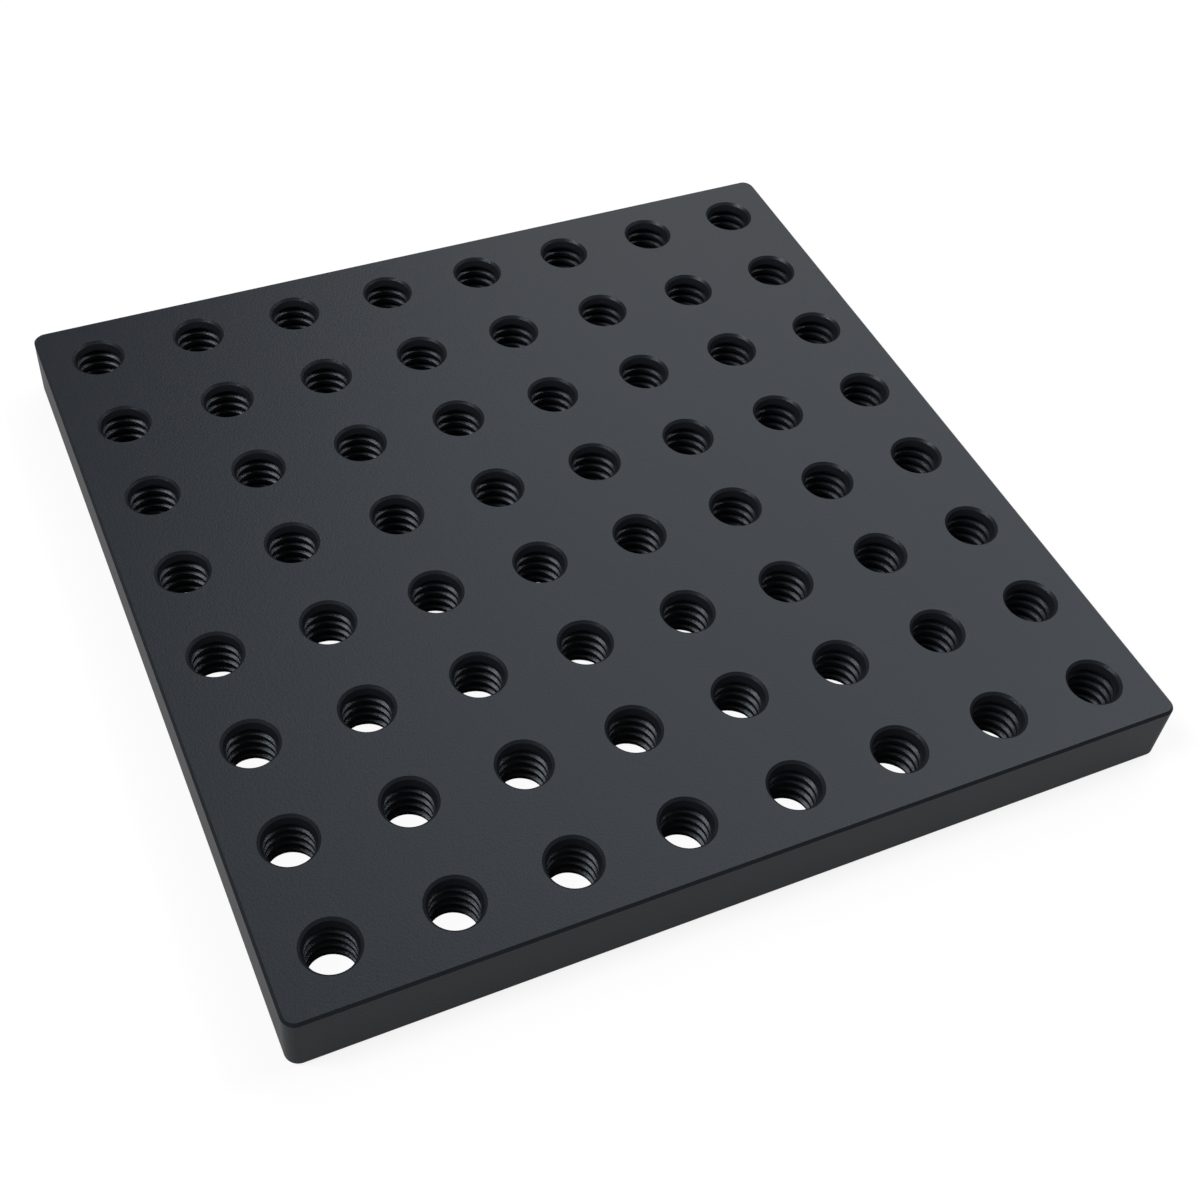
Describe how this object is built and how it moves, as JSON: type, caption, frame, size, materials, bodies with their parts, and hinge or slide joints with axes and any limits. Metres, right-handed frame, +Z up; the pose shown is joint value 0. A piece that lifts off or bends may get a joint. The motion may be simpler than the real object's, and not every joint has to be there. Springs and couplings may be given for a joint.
{
  "type": "fixture plate",
  "caption": "Thin square black anodised aluminium plate with a full grid of tapped through holes for clamping work and tooling in place.",
  "frame": {"origin": "centre of the bottom face, on the surface that the plate rests on", "axes": "+Z up through the thickness, out of the top face; +X along the lettered columns of holes; +Y along the numbered rows"},
  "size_m": [0.1024, 0.1024, 0.0079],
  "materials": {
    "anodised_aluminium": "fine bead-blasted black anodising, satin"
  },
  "bodies": {
    "root": {"fixture_plate": "anodised_aluminium"}
  },
  "joints": []
}
